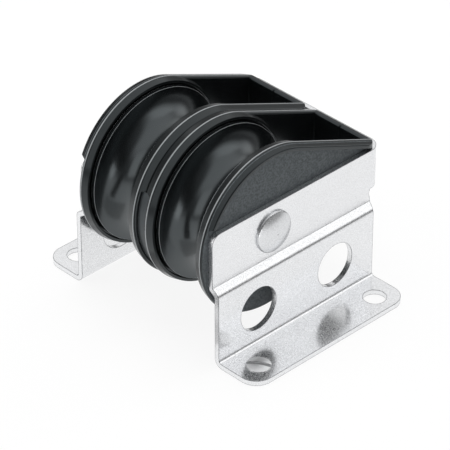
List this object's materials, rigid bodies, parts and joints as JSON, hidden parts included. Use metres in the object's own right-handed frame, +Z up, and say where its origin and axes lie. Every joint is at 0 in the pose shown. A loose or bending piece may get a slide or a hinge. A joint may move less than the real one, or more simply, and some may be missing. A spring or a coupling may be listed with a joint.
{
  "type": "double stand-up block",
  "caption": "Stand-up deck block: sheaves side by side on one axle, each between moulded half-shells, in a folded sheet frame with fixing feet; turns ropes that come up off the deck.",
  "frame": {"origin": "on the deck plane under the middle of the block's overall length and width", "axes": "+X along the axle towards the right side plate, +Y back towards the web, +Z up off the deck"},
  "size_m": [0.083, 0.0658, 0.0564],
  "materials": {
    "polished_steel": "polished",
    "rivet_steel": "polished",
    "screw_steel": "satin",
    "tube_steel": "ground",
    "plate_plastic": "moulded, fine grain",
    "shell_plastic": "moulded, fine grain",
    "sheave_plastic": "satin",
    "bearing_plastic": "smooth"
  },
  "bodies": {
    "block": {"frame": "polished_steel", "centre_plate": "plate_plastic", "axle_rivet": "rivet_steel", "mounting_screw": "screw_steel", "left_outer_shell": "shell_plastic", "left_inner_shell": "shell_plastic", "right_inner_shell": "shell_plastic", "right_outer_shell": "shell_plastic", "left_bearing_tube": "tube_steel", "right_bearing_tube": "tube_steel", "left_inner_washer": "bearing_plastic", "left_outer_washer": "bearing_plastic", "right_inner_washer": "bearing_plastic", "right_outer_washer": "bearing_plastic"},
    "left_wheel": {"left_sheave": "sheave_plastic", "left_bush": "bearing_plastic"},
    "right_wheel": {"right_sheave": "sheave_plastic", "right_bush": "bearing_plastic"}
  },
  "joints": [
    {"name": "left_sheave_spin", "type": "hinge", "parent": "block", "child": "left_wheel", "pos_m": [-0.01265, -0.0085, 0.032], "axis": [1, 0, 0], "continuous": true},
    {"name": "right_sheave_spin", "type": "hinge", "parent": "block", "child": "right_wheel", "pos_m": [0.01265, -0.0085, 0.032], "axis": [1, 0, 0], "continuous": true}
  ]
}
